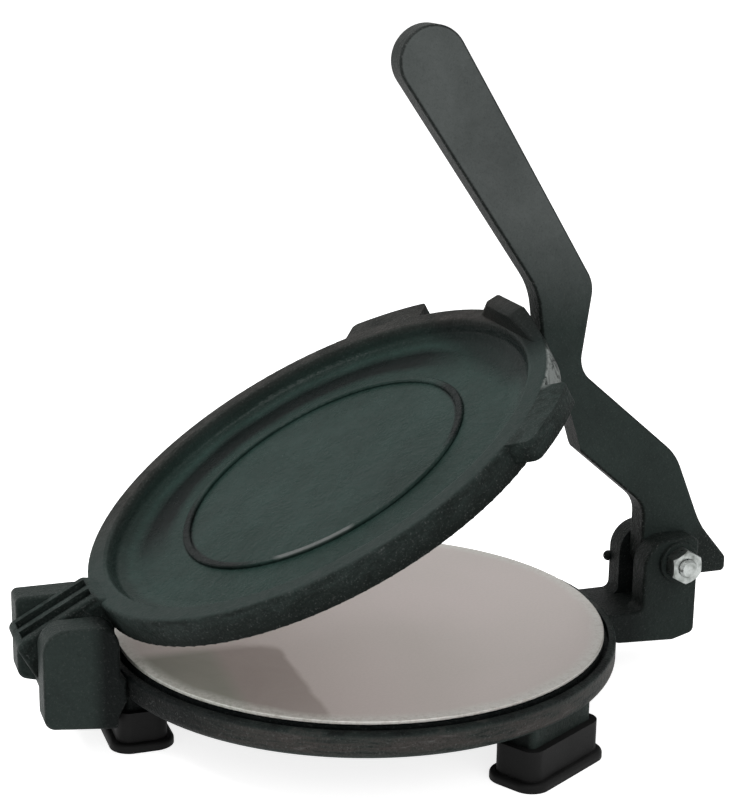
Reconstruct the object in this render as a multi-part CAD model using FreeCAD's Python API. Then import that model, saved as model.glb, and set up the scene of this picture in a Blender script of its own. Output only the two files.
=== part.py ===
import FreeCAD, Part
import math
import os
from FreeCAD import Vector

# Tortilla press, millimetres. The origin is the centre of the lower pressing face, +Z is up, +X runs
# from the plate hinge to the lever, and -Y is the side of the lever nut. The plate is modelled closed
# and then opened to its resting angle, where its rim and the lever's neck lean on each other.

# Pressing discs, lower and upper alike
PRESS_DISC_RADIUS = 100.0
PRESS_DISC_THICKNESS = 1.5
PRESS_DISC_EDGE_ROUND = 0.4
BOND_THICKNESS = 0.3
BOND_INSET = 3.0
CLOSED_GAP = 0.3

# Base casting: a dished disc with a lip round the lower pressing disc
LIP_GAP = 2.0
LIP_WIDTH = 3.0
LIP_DROP = 2.6
LIP_ROUND = 1.0
GROOVE_DEPTH = 3.0
BASE_HEIGHT = 13.5
BASE_EDGE_ROUND = 4.0
BASE_FLOOR = 5.5
BASE_WALL = 10.0
UNDERSIDE_RIB_COUNT = 6
UNDERSIDE_RIB_WIDTH = 5.0
UNDERSIDE_RIB_DEPTH = 4.0
UNDERSIDE_BOSS_RADIUS = 14.0

# Legs of the base casting and the rubber feet pushed over them
STAND_HEIGHT = 35.0
LEG_ANGLES = (180.0, -60.0, 60.0)
LEG_NAMES = ("hinge_side", "near", "far")
LEG_LENGTH = 38.5
LEG_DEPTH = 14.0
LEG_SETBACK = 2.5
LEG_CORNER_ROUND = 2.5
FOOT_WALL = 3.0
FOOT_HEIGHT = 15.6
FOOT_SOLE = 4.0
FOOT_CLEARANCE = 0.1
FOOT_FLANGE_HEIGHT = 3.4
FOOT_FLANGE_WIDTH = 2.6
FOOT_FLANGE_ROUND = 1.6

# Plate hinge at the -X end
HINGE_REACH = 21.0
HINGE_HEIGHT = 2.3
HINGE_PIN_RADIUS = 4.0
HINGE_PIN_FIT = 0.06
HINGE_PIN_RECESS = 0.5
PIN_CHAMFER = 0.6
HINGE_EAR_THICKNESS = 13.5
HINGE_EAR_TOP = 16.9
HINGE_EAR_FOOT_GAP = 0.5
HINGE_EAR_FOOT_LAP = 4.4
HINGE_EAR_INNER_ROUND = 9.0
HINGE_EAR_FOOT_ROUND = 4.6
HINGE_EAR_HEEL_ROUND = 1.5
FAR_EAR_END = 12.2
FAR_EAR_DEPTH = 16.8
FAR_EAR_TOP_ROUND = 2.4
NEAR_EAR_END = 8.4
NEAR_EAR_DEPTH = 22.4
NEAR_EAR_TOP_ROUND = 9.0
HINGE_WEB_END = 5.5
HINGE_WEB_CLEARANCE = 0.6
HINGE_WEB_DEPTH = 17.5
HINGE_BORE_COVER = 3.0

# Upper plate casting, sizes as it lies closed
PLATE_OVERHANG = 2.5
PLATE_SKIRT = 1.8
PLATE_SEAT_CLEARANCE = 0.4
PLATE_SEAT_INSET = 3.0
PLATE_FLOOR = 2.4
PLATE_RIM_TOP = 12.9
PLATE_RIM_WIDTH = 8.6
PLATE_RIM_ROUND = 1.6
PLATE_WALL_FOOT = 2.5
PLATE_WALL_DROP = 6.0
PLATE_SLOPE_WIDTH = 8.5
PLATE_RING_RADIUS = 61.0
PLATE_RING_WIDTH = 3.2
PLATE_RING_HEIGHT = 1.3
REST_OPENING = 29.0

# Tongue of the upper plate, which turns on the hinge pin
TONGUE_WIDTH = 25.0
TONGUE_RISE = 3.4
TONGUE_SIDE_CLEARANCE = 0.5
TONGUE_BARREL_RADIUS = 11.0
TONGUE_CORNER_ROUND = 3.0
TONGUE_RIB_WIDTH = 4.0
TONGUE_MID_RIB_WIDTH = 3.0
TONGUE_CHANNEL_DEPTH = 2.6
TONGUE_CHANNEL_END = 3.5

# Pressing bar across the rim of the upper plate, under the lever
BAR_WIDTH = 7.5
BAR_HEIGHT = 9.5
BAR_SETBACK = 0.9
BAR_TOP_LENGTH = 25.0
BAR_FOOT_LENGTH = 56.0
BAR_ROUND = 1.8

# Two lifting lugs on the rim of the upper plate
LUG_ANGLE = 49.7
LUG_SPAN = 19.5
LUG_PROJECTION = 10.0
LUG_THICKNESS = 8.6
LUG_ROUND = 3.0

# Clevis of the base casting and the lever pivot at the +X end
PIVOT_REACH = 32.0
PIVOT_HEIGHT = 15.8
LEVER_THICKNESS = 12.0
CLEVIS_SIDE_CLEARANCE = 0.6
CLEVIS_EAR_THICKNESS = 10.4
CLEVIS_EAR_BACK = 15.4
CLEVIS_EAR_FRONT = 10.0
CLEVIS_EAR_TOP = 9.7
CLEVIS_EAR_ROUND = 12.0
CLEVIS_FRONT_ROUND = 3.0
CLEVIS_SHELF_DROP = 5.5
CLEVIS_DEPTH = 20.2
CLEVIS_FRONT_RISE = 2.7
CLEVIS_FOOT_REACH = 6.0
CLEVIS_FOOT_ROUND = 4.0
CLEVIS_FAR_GUSSET = 7.0
CLEVIS_NEAR_GUSSET = 2.5
CLEVIS_GUSSET_DROP = 1.2
CLEVIS_BOSS_RADIUS = 8.8
CLEVIS_BOSS_HEIGHT = 2.0
CLEVIS_BOSS_ROUND = 0.7
CASTING_NUB_RADIUS = 2.3
CASTING_NUB_DROP = 7.4

# M8 x 45 hexagon bolt and nut at the lever pivot
BOLT_RADIUS = 4.0
BOLT_LENGTH = 45.0
BOLT_HEAD_FLATS = 13.0
BOLT_HEAD_HEIGHT = 5.3
BOLT_HOLE_FIT = 0.1
LEVER_BORE_FIT = 0.08
NUT_HEIGHT = 6.8
NUT_FIT = 0.05
HEX_CORNER_CHAMFER = 0.9

# Lever, sizes as it leans at rest. Places are given from the pivot, or from the heel, the point of
# the neck beside the rim of the resting plate.
LEVER_PLATE_CLEARANCE = 0.3
LEVER_EDGE_ROUND = 1.6
LEVER_HUB_RADIUS = 11.5
TOE_REACH = 30.0
TOE_TIP_HEIGHT = 6.6
TOE_TIP_ROUND = 2.2
TOE_TOP_ROUND = 3.5
TOE_HOLLOW_X = 16.6
TOE_HOLLOW_Z = 11.2
TOE_HOLLOW_ROUND = 40.0
ARM_BACK_X = 3.05
ARM_BACK_Z = 43.75
ARM_BACK_ROUND = 25.0
ARM_WIDTH = 25.6
ARM_ANGLE = 139.6
ARM_FOOT_ROUND = 12.0
NECK_WIDTH = 17.2
NECK_HOLLOW_ROUND = 12.0
NECK_OUTER_RISE = 24.3
NECK_OUTER_LEAN = 4.8
NECK_OUTER_ROUND = 14.0
NECK_INNER_RISE = 22.3
NECK_INNER_LEAN = 3.2
NECK_INNER_ROUND = 30.0
NECK_FOOT_INSET = 5.0
HANDLE_LENGTH = 122.8
HANDLE_ANGLE = 123.2
HANDLE_TIP_WIDTH = 29.0
HANDLE_TIP_ROUND = 14.0

# One overrun serves all cuts, one edge round the ears and blocks, and one match the search for edges
OVERRUN = 2.0
CAST_EDGE_ROUND = 1.4
EDGE_MATCH = 0.002

# Places that follow from the sizes
BASE_RIM_RADIUS = PRESS_DISC_RADIUS + LIP_GAP + LIP_WIDTH
LIP_INNER_RADIUS = PRESS_DISC_RADIUS + LIP_GAP
LOWER_SEAT_Z = -(PRESS_DISC_THICKNESS + BOND_THICKNESS)
BASE_FLOOR_Z = LOWER_SEAT_Z - BASE_FLOOR
HINGE_X = -(BASE_RIM_RADIUS + HINGE_REACH)
HINGE_EAR_INNER_Y = TONGUE_WIDTH / 2 + TONGUE_SIDE_CLEARANCE
HINGE_EAR_OUTER_Y = HINGE_EAR_INNER_Y + HINGE_EAR_THICKNESS
PIVOT_X = BASE_RIM_RADIUS + PIVOT_REACH
CLEVIS_INNER_Y = LEVER_THICKNESS / 2 + CLEVIS_SIDE_CLEARANCE
CLEVIS_OUTER_Y = CLEVIS_INNER_Y + CLEVIS_EAR_THICKNESS
NUT_SEAT_Y = -(CLEVIS_OUTER_Y + CLEVIS_BOSS_HEIGHT)
HINGE_BORE_END_Y = -(HINGE_EAR_OUTER_Y - HINGE_BORE_COVER)
PLATE_RIM_RADIUS = PRESS_DISC_RADIUS + PLATE_OVERHANG
UPPER_DISC_RADIUS = PRESS_DISC_RADIUS - PLATE_SEAT_INSET
UPPER_SEAT_Z = CLOSED_GAP + PRESS_DISC_THICKNESS + BOND_THICKNESS
PLATE_SKIRT_Z = UPPER_SEAT_Z - PLATE_SKIRT
PLATE_FLOOR_Z = UPPER_SEAT_Z + PLATE_FLOOR
LIP_Z = -LIP_DROP


def along_xz(y):
    """Places outline points (x, z) in the plane at this y."""
    return lambda a, b: Vector(a, y, b)


def along_xy(z):
    """Places outline points (x, y) in the plane at this z."""
    return lambda a, b: Vector(a, b, z)


def along_yz(x):
    """Places outline points (y, z) in the plane at this x."""
    return lambda a, b: Vector(x, a, b)


def rounded_face(corners, place):
    """Face inside a closed outline of corners (a, b, round), each rounded by its own arc."""
    cuts = []
    for i, (a, b, radius) in enumerate(corners):
        here = Vector(a, b, 0)
        before = Vector(*corners[i - 1][:2], 0) - here
        after = Vector(*corners[(i + 1) % len(corners)][:2], 0) - here
        if radius == 0:
            cuts.append((here, here, here))
            continue
        half = before.getAngle(after) / 2
        before.normalize()
        after.normalize()
        run = radius / math.tan(half)
        middle = (before + after).normalize()
        top = here + middle * (radius / math.sin(half) - radius)
        cuts.append((here + before * run, top, here + after * run))
    edges = []
    for i, (start, top, end) in enumerate(cuts):
        if (end - start).Length > 0:
            edges.append(Part.Arc(place(*start[:2]), place(*top[:2]), place(*end[:2])).toShape())
        follow = cuts[(i + 1) % len(cuts)][0]
        edges.append(Part.LineSegment(place(*end[:2]), place(*follow[:2])).toShape())
    return Part.Face(Part.Wire(edges))


def slab_xz(corners, y_low, y_high):
    """Solid of an (x, z) outline from y_low to y_high."""
    return rounded_face(corners, along_xz(y_low)).extrude(Vector(0, y_high - y_low, 0))


def slab_xy(corners, z_low, z_high):
    """Solid of an (x, y) outline from z_low to z_high."""
    return rounded_face(corners, along_xy(z_low)).extrude(Vector(0, 0, z_high - z_low))


def round_side_edges(solid, axis, low, high, radius):
    """Rounds the edges that lie in the two end faces of a slab, at low and high along the axis."""
    ends = []
    for edge in solid.Edges:
        places = [tuple(vertex.Point)[axis] for vertex in edge.Vertexes]
        if all(abs(place - low) < EDGE_MATCH for place in places):
            ends.append(edge)
        elif all(abs(place - high) < EDGE_MATCH for place in places):
            ends.append(edge)
    return solid.makeFillet(radius, ends)


def ring_solid(corners):
    """Solid of an (r, z) outline turned about the Z axis."""
    return rounded_face(corners, along_xz(0)).revolve(Vector(0, 0, 0), Vector(0, 0, 1), 360)


def disc(radius, z_low, z_high):
    return Part.makeCylinder(radius, z_high - z_low, Vector(0, 0, z_low))


def bore_y(x, z, radius, y_low, y_high):
    """Cylinder along Y, used for bores and pins."""
    return Part.makeCylinder(radius, y_high - y_low, Vector(x, y_low, z), Vector(0, 1, 0))


def joined(shapes):
    return shapes[0].fuse(shapes[1:]).removeSplitter()


def opened(shape):
    """Turns a piece of the closed upper plate to its resting angle."""
    turned = shape.copy()
    turned.rotate(Vector(HINGE_X, 0, HINGE_HEIGHT), Vector(0, 1, 0), -REST_OPENING)
    return turned


def rounded_disc(radius, z_low, z_high, edge_round):
    """Disc with rounded rims, as a stamped steel blank has."""
    return ring_solid([
        (0, z_low, 0), (radius, z_low, edge_round), (radius, z_high, edge_round), (0, z_high, 0)])


def base_dish():
    """Dished disc: seat, lip, wall and hollow underside."""
    hollow_radius = BASE_RIM_RADIUS - BASE_WALL
    return ring_solid([
        (0, LOWER_SEAT_Z, 0),
        (PRESS_DISC_RADIUS, LOWER_SEAT_Z, 0),
        (PRESS_DISC_RADIUS, LIP_Z, 0),
        (BASE_RIM_RADIUS, LIP_Z, LIP_ROUND),
        (BASE_RIM_RADIUS, -BASE_HEIGHT, BASE_EDGE_ROUND),
        (hollow_radius, -BASE_HEIGHT, LIP_ROUND),
        (hollow_radius, BASE_FLOOR_Z, LIP_ROUND),
        (0, BASE_FLOOR_Z, 0)])


def base_groove():
    """Groove between the lower pressing disc's seat and the lip."""
    low = LIP_Z - GROOVE_DEPTH
    return disc(LIP_INNER_RADIUS, low, LOWER_SEAT_Z).cut(
        disc(PRESS_DISC_RADIUS, low - OVERRUN, LOWER_SEAT_Z + OVERRUN))


def underside_ribs():
    """Radial ribs and a centre boss under the dish floor."""
    rib_low = BASE_FLOOR_Z - UNDERSIDE_RIB_DEPTH
    rib_high = BASE_FLOOR_Z + BASE_FLOOR / 2
    ribs = [disc(UNDERSIDE_BOSS_RADIUS, rib_low, rib_high)]
    rib_reach = BASE_RIM_RADIUS - BASE_WALL / 2
    for i in range(UNDERSIDE_RIB_COUNT):
        rib = Part.makeBox(
            rib_reach, UNDERSIDE_RIB_WIDTH, rib_high - rib_low,
            Vector(0, -UNDERSIDE_RIB_WIDTH / 2, rib_low))
        rib.rotate(Vector(0, 0, 0), Vector(0, 0, 1), 360 / UNDERSIDE_RIB_COUNT * i)
        ribs.append(rib)
    return ribs


def leg_block(grow, z_low, z_high, corner_round):
    """Upright block of a leg along +X, widened by grow on every side, before it is turned in place."""
    outer = BASE_RIM_RADIUS - LEG_SETBACK + grow
    inner = BASE_RIM_RADIUS - LEG_SETBACK - LEG_DEPTH - grow
    half = LEG_LENGTH / 2 + grow
    return slab_xy([
        (inner, -half, corner_round), (outer, -half, corner_round),
        (outer, half, corner_round), (inner, half, corner_round)], z_low, z_high)


def turned(shape, angle):
    shape.rotate(Vector(0, 0, 0), Vector(0, 0, 1), angle)
    return shape


def base_legs():
    """Cast legs, which end inside the rubber feet."""
    leg_low = -STAND_HEIGHT + FOOT_SOLE + FOOT_CLEARANCE
    leg_high = BASE_FLOOR_Z + BASE_FLOOR / 2
    return [turned(leg_block(0, leg_low, leg_high, LEG_CORNER_ROUND), angle) for angle in LEG_ANGLES]


def rubber_foot(angle):
    """Rubber boot with a flanged sole, hollow where the leg goes in."""
    wall = FOOT_CLEARANCE + FOOT_WALL
    flange = wall + FOOT_FLANGE_WIDTH
    post = leg_block(wall, -STAND_HEIGHT, -STAND_HEIGHT + FOOT_HEIGHT, LEG_CORNER_ROUND + wall)
    sole = leg_block(flange, -STAND_HEIGHT, -STAND_HEIGHT + FOOT_FLANGE_HEIGHT, LEG_CORNER_ROUND + flange)
    upper_edges = [edge for edge in sole.Edges
                   if edge.BoundBox.ZMin > -STAND_HEIGHT + FOOT_FLANGE_HEIGHT / 2]
    sole = sole.makeFillet(FOOT_FLANGE_ROUND, upper_edges)
    cavity = leg_block(
        FOOT_CLEARANCE, -STAND_HEIGHT + FOOT_SOLE, -STAND_HEIGHT + FOOT_HEIGHT + OVERRUN,
        LEG_CORNER_ROUND + FOOT_CLEARANCE)
    return turned(post.fuse(sole).removeSplitter().cut(cavity), angle)


def hinge_ear(end_reach, depth, top_round, low, high):
    """One ear from low to high along Y, which reaches down past the rubber foot."""
    end = HINGE_X - end_reach
    top = HINGE_HEIGHT + HINGE_EAR_TOP
    inner = -BASE_RIM_RADIUS
    root = -LIP_INNER_RADIUS - LIP_WIDTH / 4
    heel = -(BASE_RIM_RADIUS - LEG_SETBACK + FOOT_CLEARANCE + FOOT_WALL + HINGE_EAR_FOOT_GAP)
    over_foot = -STAND_HEIGHT + FOOT_HEIGHT + HINGE_EAR_FOOT_GAP
    outline = [
        (root, LIP_Z - LIP_ROUND, 0),
        (inner, LIP_Z + LIP_ROUND, 0),
        (inner, top, HINGE_EAR_INNER_ROUND),
        (end, top, top_round),
        (end, HINGE_HEIGHT - depth, HINGE_EAR_FOOT_ROUND),
        (heel, over_foot - HINGE_EAR_FOOT_LAP, HINGE_EAR_HEEL_ROUND),
        (heel, over_foot, 0),
        (root, -BASE_HEIGHT + LIP_ROUND, 0)]
    return round_side_edges(slab_xz(outline, low, high), 1, low, high, CAST_EDGE_ROUND)


def hinge_ears():
    """Two ears that hold the hinge pin, the near one shorter and deeper, with a web between them."""
    root = -LIP_INNER_RADIUS - LIP_WIDTH / 4
    web_top = HINGE_HEIGHT - TONGUE_BARREL_RADIUS - HINGE_WEB_CLEARANCE
    web_end = HINGE_X - HINGE_WEB_END
    web_bottom = HINGE_HEIGHT - HINGE_WEB_DEPTH
    web = [
        (root, web_top, 0), (web_end, web_top, 0), (web_end, web_bottom, 0),
        (-BASE_RIM_RADIUS, web_bottom, 0), (root, -BASE_HEIGHT + LIP_ROUND, 0)]
    reach = HINGE_EAR_INNER_Y + HINGE_EAR_THICKNESS / 4
    return [
        hinge_ear(FAR_EAR_END, FAR_EAR_DEPTH, FAR_EAR_TOP_ROUND, HINGE_EAR_INNER_Y, HINGE_EAR_OUTER_Y),
        hinge_ear(NEAR_EAR_END, NEAR_EAR_DEPTH, NEAR_EAR_TOP_ROUND, -HINGE_EAR_OUTER_Y, -HINGE_EAR_INNER_Y),
        slab_xz(web, -reach, reach)]


def clevis():
    """Block that grows out of the rim, slotted into two ears for the lever bolt."""
    front = PIVOT_X + CLEVIS_EAR_FRONT
    back = PIVOT_X - CLEVIS_EAR_BACK
    top = PIVOT_HEIGHT + CLEVIS_EAR_TOP
    shelf = -CLEVIS_SHELF_DROP
    root = LIP_INNER_RADIUS - LIP_GAP / 2
    foot = BASE_RIM_RADIUS + CLEVIS_FOOT_REACH
    outline = [
        (root, shelf, 0),
        (root, -BASE_HEIGHT + LIP_ROUND, 0),
        (foot, -CLEVIS_DEPTH + CLEVIS_FRONT_RISE / 2, CLEVIS_FOOT_ROUND),
        (PIVOT_X, -CLEVIS_DEPTH, CLEVIS_FOOT_ROUND),
        (front, -CLEVIS_DEPTH + CLEVIS_FRONT_RISE, CLEVIS_FRONT_ROUND),
        (front, top, CLEVIS_FRONT_ROUND),
        (back, top, CLEVIS_EAR_ROUND),
        (back, shelf, CLEVIS_FRONT_ROUND)]
    outer = CLEVIS_OUTER_Y
    block = round_side_edges(slab_xz(outline, -outer, outer), 1, -outer, outer, CAST_EDGE_ROUND)
    slot = Part.makeBox(
        front + OVERRUN - root, CLEVIS_INNER_Y * 2, top + OVERRUN - shelf,
        Vector(root, -CLEVIS_INNER_Y, shelf))
    solids = [block.cut(slot)]
    for side, gusset in ((1, CLEVIS_FAR_GUSSET), (-1, CLEVIS_NEAR_GUSSET)):
        wall = side * (outer - CAST_EDGE_ROUND * 2)
        solids.append(slab_xy([
            (root, wall, 0), (foot, wall, 0), (foot, side * (outer - CAST_EDGE_ROUND), 0),
            (root, side * (outer + gusset), 0)],
            -BASE_HEIGHT + LIP_ROUND, shelf - CLEVIS_GUSSET_DROP))
    solids.append(nut_boss())
    nub_place = Vector(back, outer, PIVOT_HEIGHT - CASTING_NUB_DROP)
    solids.append(Part.makeSphere(CASTING_NUB_RADIUS, nub_place))
    return solids


def nut_boss():
    """Round boss under the nut, on the outer side of the near ear."""
    inside = -CLEVIS_INNER_Y - CLEVIS_EAR_THICKNESS / 2
    boss = bore_y(PIVOT_X, PIVOT_HEIGHT, CLEVIS_BOSS_RADIUS, NUT_SEAT_Y, inside)
    rim = [edge for edge in boss.Edges if edge.BoundBox.YMax < NUT_SEAT_Y + EDGE_MATCH]
    return boss.makeFillet(CLEVIS_BOSS_ROUND, rim)


def base_casting():
    """The whole base casting, bored for the hinge pin, blind on the near side, and the lever bolt."""
    body = joined([base_dish()] + underside_ribs() + base_legs() + hinge_ears() + clevis())
    body = body.cut(base_groove())
    pin_bore = bore_y(
        HINGE_X, HINGE_HEIGHT, HINGE_PIN_RADIUS + HINGE_PIN_FIT,
        HINGE_BORE_END_Y, HINGE_EAR_OUTER_Y + OVERRUN)
    bolt_bore = bore_y(
        PIVOT_X, PIVOT_HEIGHT, BOLT_RADIUS + BOLT_HOLE_FIT,
        NUT_SEAT_Y - OVERRUN, CLEVIS_OUTER_Y + OVERRUN)
    return body.cut(pin_bore).cut(bolt_bore)


def plate_dish():
    """Dished disc of the upper plate, with its rim, sloping floor edge and seat for the steel disc."""
    rim_inner = PLATE_RIM_RADIUS - PLATE_RIM_WIDTH
    wall_foot = rim_inner - PLATE_WALL_FOOT
    seat_radius = UPPER_DISC_RADIUS + PLATE_SEAT_CLEARANCE
    return ring_solid([
        (0, UPPER_SEAT_Z, 0),
        (seat_radius, UPPER_SEAT_Z, 0),
        (seat_radius, PLATE_SKIRT_Z, 0),
        (PLATE_RIM_RADIUS, PLATE_SKIRT_Z, PLATE_SKIRT / 2),
        (PLATE_RIM_RADIUS, PLATE_RIM_TOP, PLATE_RIM_ROUND),
        (rim_inner, PLATE_RIM_TOP, PLATE_RIM_ROUND),
        (wall_foot, PLATE_RIM_TOP - PLATE_WALL_DROP, PLATE_WALL_FOOT),
        (wall_foot - PLATE_SLOPE_WIDTH, PLATE_FLOOR_Z, PLATE_SLOPE_WIDTH),
        (0, PLATE_FLOOR_Z, 0)])


def plate_ring():
    """Raised plain ring on the floor of the dish."""
    half = PLATE_RING_WIDTH / 2
    top = PLATE_FLOOR_Z + PLATE_RING_HEIGHT
    root = PLATE_FLOOR_Z - PLATE_FLOOR / 2
    return ring_solid([
        (PLATE_RING_RADIUS - half, root, 0), (PLATE_RING_RADIUS + half, root, 0),
        (PLATE_RING_RADIUS + half, top, half / 2), (PLATE_RING_RADIUS - half, top, half / 2)])


def tongue():
    """Tongue with its hinge barrel, channelled on top between three ribs that die out on the rim."""
    half = TONGUE_WIDTH / 2
    end = HINGE_X - TONGUE_BARREL_RADIUS
    heel = HINGE_X + TONGUE_BARREL_RADIUS
    bottom = HINGE_HEIGHT - TONGUE_BARREL_RADIUS
    top = PLATE_RIM_TOP + TONGUE_RISE
    root = -(PLATE_RIM_RADIUS - PLATE_RIM_WIDTH / 2)
    outline = [
        (root, PLATE_RIM_TOP - PLATE_RIM_ROUND, 0),
        (root, PLATE_RIM_TOP, 0),
        (-PLATE_RIM_RADIUS, top, TONGUE_CORNER_ROUND),
        (end, top, TONGUE_CORNER_ROUND),
        (end, bottom, TONGUE_BARREL_RADIUS),
        (heel, bottom, TONGUE_BARREL_RADIUS / 2),
        (heel, PLATE_SKIRT_Z, 0),
        (root, PLATE_SKIRT_Z, 0)]
    body = round_side_edges(slab_xz(outline, -half, half), 1, -half, half, CAST_EDGE_ROUND)
    start = end + TONGUE_CHANNEL_END
    length = -PLATE_RIM_RADIUS - start
    width = half - TONGUE_RIB_WIDTH - TONGUE_MID_RIB_WIDTH / 2
    for low in (TONGUE_MID_RIB_WIDTH / 2, -TONGUE_MID_RIB_WIDTH / 2 - width):
        body = body.cut(Part.makeBox(
            length, width, TONGUE_CHANNEL_DEPTH + OVERRUN, Vector(start, low, top - TONGUE_CHANNEL_DEPTH)))
    return body


def pressing_bar():
    """Bar across the rim with sloping ends, which the lever bears on."""
    outer = PLATE_RIM_RADIUS - BAR_SETBACK
    inner = outer - BAR_WIDTH
    top = PLATE_RIM_TOP + BAR_HEIGHT
    root = PLATE_RIM_TOP - PLATE_RIM_ROUND * 2
    outline = [
        (-BAR_FOOT_LENGTH / 2, root, 0), (BAR_FOOT_LENGTH / 2, root, 0),
        (BAR_FOOT_LENGTH / 2, PLATE_RIM_TOP, 0), (BAR_TOP_LENGTH / 2, top, BAR_ROUND),
        (-BAR_TOP_LENGTH / 2, top, BAR_ROUND), (-BAR_FOOT_LENGTH / 2, PLATE_RIM_TOP, 0)]
    bar = rounded_face(outline, along_yz(inner)).extrude(Vector(BAR_WIDTH, 0, 0))
    top_edges = []
    for edge in bar.Edges:
        if edge.BoundBox.ZMin > PLATE_RIM_TOP - EDGE_MATCH and edge.BoundBox.XLength < BAR_WIDTH / 2:
            top_edges.append(edge)
    bar = bar.makeFillet(BAR_ROUND, top_edges)
    return bar.common(disc(PLATE_RIM_RADIUS - BAR_SETBACK / 2, root, top + OVERRUN))


def lifting_lug(angle):
    """Lug that stands out from the rim for lifting the plate."""
    outer = PLATE_RIM_RADIUS + LUG_PROJECTION
    half = math.radians(LUG_SPAN / 2)
    root = PLATE_RIM_RADIUS - PLATE_RIM_WIDTH / 2
    across = outer * math.sin(half)
    low = PLATE_RIM_TOP - LUG_THICKNESS
    block = Part.makeBox(outer + OVERRUN - root, across * 2, LUG_THICKNESS, Vector(root, -across, low))
    block = block.common(disc(outer, low, PLATE_RIM_TOP))
    corners = [edge for edge in block.Edges
               if edge.BoundBox.ZLength > LUG_THICKNESS / 2 and edge.BoundBox.XMin > PLATE_RIM_RADIUS]
    block = block.makeFillet(LUG_ROUND, corners)
    return turned(block, angle)


def upper_plate_casting():
    """The whole upper plate casting, bored for the hinge pin, at its resting angle."""
    lugs = [lifting_lug(LUG_ANGLE), lifting_lug(-LUG_ANGLE)]
    body = joined([plate_dish(), plate_ring(), tongue(), pressing_bar()] + lugs)
    reach = TONGUE_WIDTH / 2 + OVERRUN
    return opened(body.cut(bore_y(HINGE_X, HINGE_HEIGHT, HINGE_PIN_RADIUS + HINGE_PIN_FIT, -reach, reach)))


def from_hinge(x, z):
    """Distance and angle of a point of the closed plate, seen from the hinge axis."""
    return math.hypot(x - HINGE_X, z - HINGE_HEIGHT), math.atan2(z - HINGE_HEIGHT, x - HINGE_X)


def plate_reach():
    """Largest distance from the hinge axis of what the lever has to clear, and the rim's own place."""
    rim = from_hinge(PLATE_RIM_RADIUS, PLATE_SKIRT_Z)
    bar = from_hinge(PLATE_RIM_RADIUS - BAR_SETBACK / 2, PLATE_RIM_TOP + BAR_HEIGHT)
    return max(rim[0], bar[0]), rim[1]


def lever():
    """Cast lever: hub and toe, slanting arm, upright neck and leaning handle, relieved for the plate."""
    reach, rim_angle = plate_reach()
    relief = reach + LEVER_PLATE_CLEARANCE
    heel_angle = rim_angle + math.radians(REST_OPENING)
    heel = Vector(HINGE_X + relief * math.cos(heel_angle), HINGE_HEIGHT + relief * math.sin(heel_angle), 0)
    arm = Vector(math.cos(math.radians(ARM_ANGLE)), math.sin(math.radians(ARM_ANGLE)), 0)
    arm_back = Vector(PIVOT_X + ARM_BACK_X, PIVOT_HEIGHT + ARM_BACK_Z, 0)
    arm_under = arm_back + Vector(-arm.y, arm.x, 0) * ARM_WIDTH
    neck_hollow = arm_back + arm * ((heel.x + NECK_WIDTH - arm_back.x) / arm.x)
    neck_foot = arm_under + arm * ((heel.x + NECK_WIDTH - NECK_FOOT_INSET - arm_under.x) / arm.x)
    hub_back = PIVOT_X - LEVER_HUB_RADIUS
    hub_bottom = PIVOT_HEIGHT - LEVER_HUB_RADIUS
    arm_foot = arm_under + arm * ((hub_back - arm_under.x) / arm.x)
    neck_inner = heel + Vector(-NECK_INNER_LEAN, NECK_INNER_RISE, 0)
    neck_outer = heel + Vector(NECK_WIDTH + NECK_OUTER_LEAN, NECK_OUTER_RISE, 0)
    neck_low = heel + (heel - neck_inner).normalize() * LEVER_EDGE_ROUND
    handle = Vector(math.cos(math.radians(HANDLE_ANGLE)), math.sin(math.radians(HANDLE_ANGLE)), 0)
    across = Vector(handle.y, -handle.x, 0) * (HANDLE_TIP_WIDTH / 2)
    tip = (neck_inner + neck_outer) / 2 + handle * HANDLE_LENGTH
    toe_x = PIVOT_X + TOE_REACH
    outline = [
        (toe_x, hub_bottom, TOE_TIP_ROUND),
        (toe_x, hub_bottom + TOE_TIP_HEIGHT, TOE_TOP_ROUND),
        (PIVOT_X + TOE_HOLLOW_X, PIVOT_HEIGHT + TOE_HOLLOW_Z, TOE_HOLLOW_ROUND),
        (*arm_back[:2], ARM_BACK_ROUND),
        (*neck_hollow[:2], NECK_HOLLOW_ROUND),
        (*neck_outer[:2], NECK_OUTER_ROUND),
        (*(tip + across)[:2], HANDLE_TIP_ROUND),
        (*(tip - across)[:2], HANDLE_TIP_ROUND),
        (*neck_inner[:2], NECK_INNER_ROUND),
        (*neck_low[:2], 0),
        (*neck_foot[:2], 0),
        (*arm_foot[:2], ARM_FOOT_ROUND),
        (hub_back, hub_bottom, LEVER_HUB_RADIUS)]
    half = LEVER_THICKNESS / 2
    blank = round_side_edges(slab_xz(outline, -half, half), 1, -half, half, LEVER_EDGE_ROUND)
    blank = blank.cut(bore_y(HINGE_X, HINGE_HEIGHT, relief, -half - OVERRUN, half + OVERRUN))
    return blank.cut(bore_y(
        PIVOT_X, PIVOT_HEIGHT, BOLT_RADIUS + LEVER_BORE_FIT, -half - OVERRUN, half + OVERRUN))


def chamfered_pin(x, z, radius, y_low, y_high):
    """Round pin along Y with both ends chamfered."""
    rod = bore_y(x, z, radius, y_low, y_high)
    return rod.makeChamfer(PIN_CHAMFER, [edge for edge in rod.Edges if edge.BoundBox.YLength < PIN_CHAMFER])


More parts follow.
